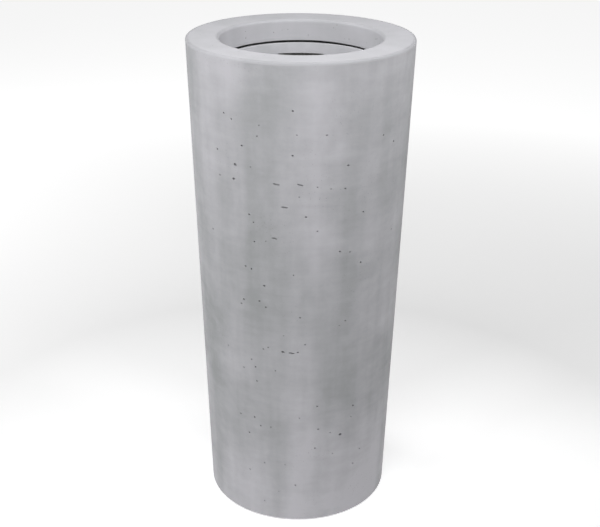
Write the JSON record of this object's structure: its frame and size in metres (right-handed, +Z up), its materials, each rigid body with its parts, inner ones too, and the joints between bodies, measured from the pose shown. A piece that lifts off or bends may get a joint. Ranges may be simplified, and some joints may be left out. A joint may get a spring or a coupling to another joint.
{
  "type": "floor planter",
  "caption": "Tall tapered round planter with a flat inward rim, a collar and a lift-out planting liner on an inner shelf, with rubber drain bungs.",
  "frame": {"origin": "centre of the footprint at floor level, on the planter's axis", "axes": "+Z up along the planter's axis; the liner's two hand grips face +Y and -Y, and +X is to the right of a viewer who looks along +Y"},
  "size_m": [0.4498, 0.4498, 1],
  "materials": {
    "concrete_finish": "matte",
    "liner_finish": "matte",
    "laminate": "matte",
    "rubber": "matte"
  },
  "bodies": {
    "planter": {"body_shell": "concrete_finish", "rim_ring": "concrete_finish", "shelf_plate": "laminate", "shelf_cleats": "laminate", "foot_pads": "rubber"},
    "liner": {"liner": "liner_finish"},
    "liner_plug": {"liner_plug": "rubber"},
    "drain_plug": {"drain_plug": "rubber"}
  },
  "joints": [
    {"name": "liner_lift", "type": "slide", "parent": "planter", "child": "liner", "axis": [0, 0, 1], "range_m": [0, 0.4]},
    {"name": "liner_plug_pull", "type": "slide", "parent": "liner", "child": "liner_plug", "axis": [0, 0, 1], "range_m": [0, 0.4]},
    {"name": "drain_plug_pull", "type": "slide", "parent": "planter", "child": "drain_plug", "axis": [0, 0, -1], "range_m": [0, 0.06]}
  ]
}
